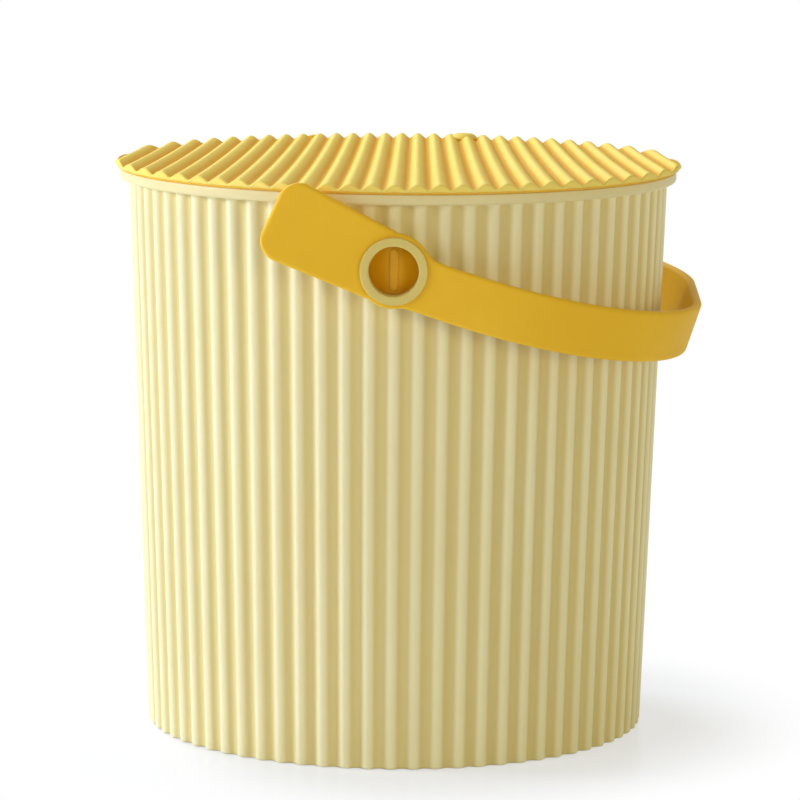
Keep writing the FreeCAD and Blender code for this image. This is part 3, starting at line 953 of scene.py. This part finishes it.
def flute_shade_group():
    """A painted-shade mask: 0 on the crests and inside, 1 in the valleys and in between on the plain rim.
    """
    group, start, end = new_group(
        "flute_shade",
        [("Amount", "NodeSocketFloat", 1.0)],
        [("Mask", "NodeSocketFloat")],
    )
    place = group.nodes.new("ShaderNodeTexCoord").outputs["Object"]
    parts = group.nodes.new("ShaderNodeSeparateXYZ")
    wire(group, (place, parts.inputs["Vector"]))
    radius = axis_distance(group, parts)
    lean = (TOP_CREST - BASE_CREST) / BUCKET_HEIGHT
    widening = calculate(group, "MULTIPLY", parts.outputs["Z"], lean)
    crest = calculate(group, "ADD", widening, BASE_CREST * MM)
    depth = calculate(group, "DIVIDE", calculate(group, "SUBTRACT", crest, radius), FLUTE_DEPTH * MM)
    valley = group.nodes.new("ShaderNodeMapRange")
    valley.interpolation_type = "SMOOTHSTEP"
    valley.inputs["From Min"].default_value = VALLEY_START
    valley.inputs["From Max"].default_value = VALLEY_FULL
    wire(group, (depth, valley.inputs["Value"]))
    outside = calculate(group, "LESS_THAN", depth, INSIDE_DEPTH)
    flutes = calculate(group, "MULTIPLY", valley.outputs["Result"], outside)
    # Painted shade on the plain rim, at a lower share than in the valleys.
    rim = calculate(group, "MULTIPLY", calculate(group, "LESS_THAN", depth, RIM_DEPTH), RIM_SHARE)
    mask = calculate(group, "MAXIMUM", flutes, rim)
    wire(group, (calculate(group, "MULTIPLY", mask, start.outputs["Amount"]), end.inputs["Mask"]))
    return group


def ridge_shade_group():
    """A painted-shade mask: 0 on the lid's crests and 1 in the troughs between them."""
    group, start, end = new_group(
        "ridge_shade",
        [("Amount", "NodeSocketFloat", 1.0)],
        [("Mask", "NodeSocketFloat")],
    )
    parts = group.nodes.new("ShaderNodeSeparateXYZ")
    place = group.nodes.new("ShaderNodeTexCoord").outputs["Object"]
    fall = group.nodes.new("ShaderNodeMapRange")
    fall.interpolation_type = "SMOOTHSTEP"
    fall.inputs["From Min"].default_value = trough_height * MM
    fall.inputs["From Max"].default_value = crest_height * MM
    fall.inputs["To Min"].default_value = 1.0
    fall.inputs["To Max"].default_value = 0.0
    wire(group, (place, parts.inputs["Vector"]))
    radius = axis_distance(group, parts)
    share = calculate(group, "DIVIDE", radius, top_radius * MM)
    dish = calculate(group, "MULTIPLY", calculate(group, "MULTIPLY", share, share), -LID_DISH * MM)
    level = calculate(group, "ADD", calculate(group, "ADD", parts.outputs["Z"], dish), LID_DISH * MM)
    wire(group, (level, fall.inputs["Value"]))
    on_top = calculate(group, "LESS_THAN", radius, top_radius * MM)
    mask = calculate(group, "MULTIPLY", fall.outputs["Result"], on_top)
    wire(group, (calculate(group, "MULTIPLY", mask, start.outputs["Amount"]), end.inputs["Mask"]))
    return group


flute_group = flute_shade_group()
ridge_group = ridge_shade_group()
print("masks:", flute_group.name, ridge_group.name)

# %% [markdown]
# ## The plastic
# One function makes every plastic here: a drifting tint, a grain that drives a faint bump, and a little
# scattering under the surface, which warms the hollows as it does in this plastic. The colours are
# written as they should look in plain light. Two more functions paint light and shade over that tint:
# painted shade as a deeper tint in the hollows, and a painted highlight as a lighter stripe along the
# plug's bar.

# %% Plastic
BUMP_DISTANCE = 0.0002
PLASTIC_IOR = 1.49
SCATTER_RADIUS = (1.0, 0.75, 0.35)
SCATTER_SCALE = 0.003
ROUGH_SPREAD = 0.05
BAR_HIGHLIGHT_CORE = 0.3
BAR_HIGHLIGHT_END = 2.6


def srgb(red, green, blue):
    """A screen colour as the linear colour that the shader needs."""
    def linear(value):
        value /= 255
        return value / 12.92 if value <= 0.04045 else ((value + 0.055) / 1.055) ** 2.4
    return (linear(red), linear(green), linear(blue), 1.0)


def add_group(material, group, values):
    """Place a node group in a material with its own values."""
    node = material.node_tree.nodes.new("ShaderNodeGroup")
    node.node_tree = group
    for label, value in values.items():
        node.inputs[label].default_value = value
    return node


def plastic(name, tint, deeper, rough, scatter, gloss, grain_scale=1600.0, bump_strength=0.12):
    """A satin plastic whose tint drifts to a slightly deeper one."""
    material = bpy.data.materials.new(name)
    material.use_nodes = True
    tree = material.node_tree
    shader = tree.nodes["Principled BSDF"]
    drift = add_group(material, drift_group, {"Tint": tint, "Deeper Tint": deeper})
    grain = add_group(material, grain_group, {
        "Grain Scale": grain_scale, "Rough Low": rough - ROUGH_SPREAD, "Rough High": rough + ROUGH_SPREAD})
    bump = tree.nodes.new("ShaderNodeBump")
    bump.inputs["Strength"].default_value = bump_strength
    bump.inputs["Distance"].default_value = BUMP_DISTANCE
    shader.inputs["IOR"].default_value = PLASTIC_IOR
    shader.inputs["Specular IOR Level"].default_value = gloss
    shader.inputs["Subsurface Weight"].default_value = scatter
    shader.inputs["Subsurface Radius"].default_value = SCATTER_RADIUS
    shader.inputs["Subsurface Scale"].default_value = SCATTER_SCALE
    wire(tree, (drift.outputs["Color"], shader.inputs["Base Color"]),
         (grain.outputs["Roughness"], shader.inputs["Roughness"]),
         (grain.outputs["Height"], bump.inputs["Height"]),
         (bump.outputs["Normal"], shader.inputs["Normal"]))
    return material


def paint_hollow_shade(material, group, hollow_shade_tint, amount):
    """Paint shade into flutes or troughs as a deeper tint, between the drifting tint and the shader."""
    tree = material.node_tree
    shader = tree.nodes["Principled BSDF"]
    plain = shader.inputs["Base Color"].links[0].from_socket
    mask = add_group(material, group, {"Amount": amount})
    mix = tree.nodes.new("ShaderNodeMix")
    mix.data_type = "RGBA"
    mix.inputs["B"].default_value = hollow_shade_tint
    wire(tree, (mask.outputs["Mask"], mix.inputs["Factor"]), (plain, mix.inputs["A"]),
         (mix.outputs["Result"], shader.inputs["Base Color"]))


def paint_bar_highlight(material, bar_highlight_tint):
    """A painted highlight: a soft lighter stripe along the plug's upright bar, where it catches more light.
    """
    tree = material.node_tree
    shader = tree.nodes["Principled BSDF"]
    plain = shader.inputs["Base Color"].links[0].from_socket
    parts = tree.nodes.new("ShaderNodeSeparateXYZ")
    place = tree.nodes.new("ShaderNodeTexCoord").outputs["Object"]
    fade = tree.nodes.new("ShaderNodeMapRange")
    fade.interpolation_type = "SMOOTHSTEP"
    fade.inputs["From Min"].default_value = BAR_HIGHLIGHT_CORE * BAR_HALF_WIDTH * MM
    fade.inputs["From Max"].default_value = BAR_HIGHLIGHT_END * BAR_HALF_WIDTH * MM
    mix = tree.nodes.new("ShaderNodeMix")
    mix.data_type = "RGBA"
    mix.inputs["A"].default_value = bar_highlight_tint
    wire(tree, (place, parts.inputs["Vector"]),
         (calculate(tree, "ABSOLUTE", parts.outputs["X"], 0.0), fade.inputs["Value"]),
         (fade.outputs["Result"], mix.inputs["Factor"]), (plain, mix.inputs["B"]),
         (mix.outputs["Result"], shader.inputs["Base Color"]))


print("plastic ready")

# %% [markdown]
# ## Five tints
# Cream for the bucket, a duller cream for the bushes, a light yellow for the lid, a warm yellow with a
# coarser grain for the handle and a deep one for the plugs, yellow plastic deepened as painted shade
# because they lie in the shade of their rings. The lid gets hardly any gloss, or its low angle would wash
# it out.

# %% Materials
def dress(piece, material):
    """Give a piece one material."""
    piece.data.materials.clear()
    piece.data.materials.append(material)


cream = plastic(
    "cream_plastic", srgb(248, 240, 194), srgb(244, 234, 184), rough=0.42, scatter=0.12, gloss=0.2)
# Painted shade: a deeper cream in the flute valleys and, at a lower share, on the plain rim.
paint_hollow_shade(cream, flute_group, srgb(222, 202, 128), amount=0.8)
bush_cream = plastic(
    "bush_cream", srgb(228, 208, 124), srgb(222, 200, 114), rough=0.42, scatter=0.15, gloss=0.2)
lid_yellow = plastic(
    "lid_yellow", srgb(254, 230, 124), srgb(250, 223, 110), rough=0.6, scatter=0.1, gloss=0.02)
# Painted shade: a deeper orange in the lid's troughs, fading up the flanks to the crests.
paint_hollow_shade(lid_yellow, ridge_group, srgb(238, 168, 16), amount=0.65)
handle_yellow = plastic(
    "handle_yellow", srgb(248, 200, 58), srgb(240, 188, 44), rough=0.55, scatter=0.1, gloss=0.08,
    grain_scale=1200.0, bump_strength=0.2)
# The plugs are yellow plastic; their deeper tint is painted shade for the shade of their rings.
plug_yellow = plastic(
    "plug_yellow", srgb(226, 162, 18), srgb(218, 152, 12), rough=0.5, scatter=0.1, gloss=0.06)
# Painted highlight: a lighter stripe along each plug's bar.
paint_bar_highlight(plug_yellow, srgb(228, 172, 52))
dress(bucket, cream)
dress(lid, lid_yellow)
dress(handle, handle_yellow)
for name, _ in SIDES:
    dress(bpy.data.objects[name + "_bush"], bush_cream)
    dress(bpy.data.objects[name + "_plug"], plug_yellow)
print("materials:", len(bpy.data.materials))

# %% [markdown]
# ## The floor
# The photograph has a white ground with a soft grey shadow by the base. The floor is a large pale disc
# that takes the shadow; away from the bucket it is seen as plain white, which a mix by distance does
# without any more light on the plastic.

# %% Floor
FLOOR_RADIUS = 6000.0
FLOOR_DROP = -0.2
FLOOR_ROUGHNESS = 0.22
FLOOR_GLOSS = 0.1
SHADOW_NEAR = 0.125
SHADOW_FAR = 0.205
WHITE_NEAR = 0.55


def seen_plainly(tree):
    """1 for what the camera sees, straight, in a glossy surface or through a clear one, else 0."""
    path = tree.nodes.new("ShaderNodeLightPath")
    mirrored = calculate(tree, "MAXIMUM", path.outputs["Is Camera Ray"], path.outputs["Is Glossy Ray"])
    return calculate(tree, "MAXIMUM", mirrored, path.outputs["Is Transmission Ray"])


def floor_material():
    """A pale floor that keeps the shadow near the base and turns to white further out."""
    material = bpy.data.materials.new("floor_white")
    material.use_nodes = True
    tree = material.node_tree
    shader = tree.nodes["Principled BSDF"]
    shader.inputs["Base Color"].default_value = srgb(241, 247, 255)
    shader.inputs["Roughness"].default_value = FLOOR_ROUGHNESS
    shader.inputs["Specular IOR Level"].default_value = FLOOR_GLOSS
    white = tree.nodes.new("ShaderNodeEmission")
    white.inputs["Strength"].default_value = 1.0
    place = tree.nodes.new("ShaderNodeTexCoord").outputs["Object"]
    away = tree.nodes.new("ShaderNodeVectorMath")
    away.operation = "LENGTH"
    fade = tree.nodes.new("ShaderNodeMapRange")
    fade.interpolation_type = "SMOOTHSTEP"
    fade.inputs["From Min"].default_value = SHADOW_NEAR
    fade.inputs["From Max"].default_value = SHADOW_FAR
    fade.inputs["To Min"].default_value = WHITE_NEAR
    share = calculate(tree, "MULTIPLY", fade.outputs["Result"], seen_plainly(tree))
    mix = tree.nodes.new("ShaderNodeMixShader")
    wire(tree, (place, away.inputs[0]), (away.outputs["Value"], fade.inputs["Value"]),
         (share, mix.inputs["Fac"]), (shader.outputs["BSDF"], mix.inputs[1]),
         (white.outputs["Emission"], mix.inputs[2]),
         (mix.outputs["Shader"], tree.nodes["Material Output"].inputs["Surface"]))
    return material


floor_ring = np.column_stack([
    FLOOR_RADIUS * np.cos(turn_steps),
    FLOOR_RADIUS * np.sin(turn_steps),
    np.full_like(turn_steps, FLOOR_DROP),
])
floor = new_piece("floor", floor_ring, [tuple(range(len(floor_ring)))])
dress(floor, floor_material())
print("floor across:", 2 * FLOOR_RADIUS * MM, "m")

# %% [markdown]
# ## The light
# A broad cool lamp from the left gives the light left side and the shaded right side of the flutes. A small
# one lifts the front, a low warm one keeps the right side from going grey, and one from behind
# lights the lid. A warm soft light fills all the rest.

# %% World and lamps
SOFT_LIGHT = (1, 0.94, 0.78, 1)
SOFT_STRENGTH = 0.36
LAMP_AIM = Vector((0, 0, 0.15))


def white_world():
    """Soft light all round; the camera and mirror-like surfaces see plain white."""
    world = bpy.data.worlds.new("white_room")
    world.use_nodes = True
    tree = world.node_tree
    soft = tree.nodes["Background"]
    soft.inputs["Color"].default_value = SOFT_LIGHT
    soft.inputs["Strength"].default_value = SOFT_STRENGTH
    plain = tree.nodes.new("ShaderNodeBackground")
    plain.inputs["Color"].default_value = (1, 1, 1, 1)
    plain.inputs["Strength"].default_value = 1.0
    mix = tree.nodes.new("ShaderNodeMixShader")
    wire(tree, (seen_plainly(tree), mix.inputs["Fac"]), (soft.outputs["Background"], mix.inputs[1]),
         (plain.outputs["Background"], mix.inputs[2]),
         (mix.outputs["Shader"], tree.nodes["World Output"].inputs["Surface"]))
    return world


def soft_lamp(name, place, size, watts, tint):
    """A round lamp that faces the bucket, sizes in metres."""
    lamp = bpy.data.lights.new(name, "AREA")
    lamp.shape = "DISK"
    lamp.size = size
    lamp.energy = watts
    lamp.color = tint
    holder = bpy.data.objects.new(name, lamp)
    bpy.context.scene.collection.objects.link(holder)
    holder.location = place
    holder.rotation_euler = (LAMP_AIM - Vector(place)).to_track_quat("-Z", "Y").to_euler()
    return holder


bpy.context.scene.world = white_world()
bpy.context.scene.view_settings.view_transform = "Standard"
soft_lamp("left_lamp", (-1.9, 0.05, 0.75), size=0.6, watts=20.0, tint=(0.92, 0.98, 1.22))
soft_lamp("front_lamp", (-0.75, -0.65, 0.55), size=0.4, watts=1.9, tint=(0.97, 1, 1.08))
soft_lamp("low_lamp", (1.3, -1.7, 0.4), size=0.6, watts=7.0, tint=(1, 0.91, 0.62))
soft_lamp("back_lamp", (-0.9, 1.2, 1.5), size=0.9, watts=20.0, tint=(0.97, 1, 1.25))
print("lamps:", len(bpy.data.lights))

# %% [markdown]
# ## Bringing the scene up to date
# The finished model is meant to fill the same box as the CAD part; this last cell only updates the scene.

# %% Finish
bpy.context.view_layer.update()
